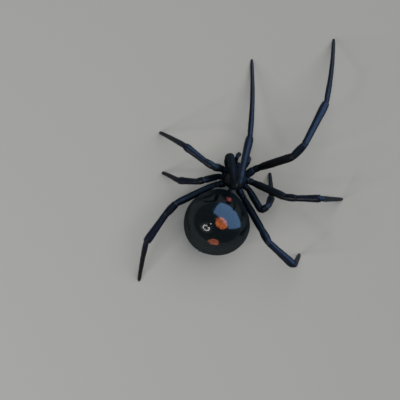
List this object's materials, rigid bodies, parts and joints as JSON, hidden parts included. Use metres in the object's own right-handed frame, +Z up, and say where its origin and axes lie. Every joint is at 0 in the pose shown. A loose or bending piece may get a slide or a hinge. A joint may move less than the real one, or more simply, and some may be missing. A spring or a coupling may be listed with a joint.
{
  "type": "black widow spider model",
  "caption": "Life-size still model of a standing female black widow spider with a round glossy abdomen and long thin legs.",
  "frame": {"origin": "centre of the bounding box on the floor that the feet stand on", "axes": "+Z up, the head towards -Y, the spider's own right side towards -X"},
  "size_m": [0.024, 0.0368, 0.009],
  "materials": {
    "cuticle_black": "glossy black chitin",
    "cuticle_navy": "satin black chitin with a blue sheen",
    "cuticle_brown": "satin dark brown chitin"
  },
  "bodies": {
    "root": {"cephalothorax": "cuticle_black", "abdomen": "cuticle_black", "chelicera_left": "cuticle_brown", "chelicera_right": "cuticle_brown", "palp_left": "cuticle_navy", "palp_right": "cuticle_navy", "leg_left_1_femur": "cuticle_black", "leg_left_1_tibia": "cuticle_navy", "leg_left_1_tarsus": "cuticle_brown", "leg_left_2_femur": "cuticle_black", "leg_left_2_tibia": "cuticle_navy", "leg_left_2_tarsus": "cuticle_brown", "leg_left_3_femur": "cuticle_black", "leg_left_3_tibia": "cuticle_navy", "leg_left_3_tarsus": "cuticle_brown", "leg_left_4_femur": "cuticle_black", "leg_left_4_tibia": "cuticle_navy", "leg_left_4_tarsus": "cuticle_brown", "leg_right_1_femur": "cuticle_black", "leg_right_1_tibia": "cuticle_navy", "leg_right_1_tarsus": "cuticle_brown", "leg_right_2_femur": "cuticle_black", "leg_right_2_tibia": "cuticle_navy", "leg_right_2_tarsus": "cuticle_brown", "leg_right_3_femur": "cuticle_black", "leg_right_3_tibia": "cuticle_navy", "leg_right_3_tarsus": "cuticle_brown", "leg_right_4_femur": "cuticle_black", "leg_right_4_tibia": "cuticle_navy", "leg_right_4_tarsus": "cuticle_brown"}
  },
  "joints": []
}
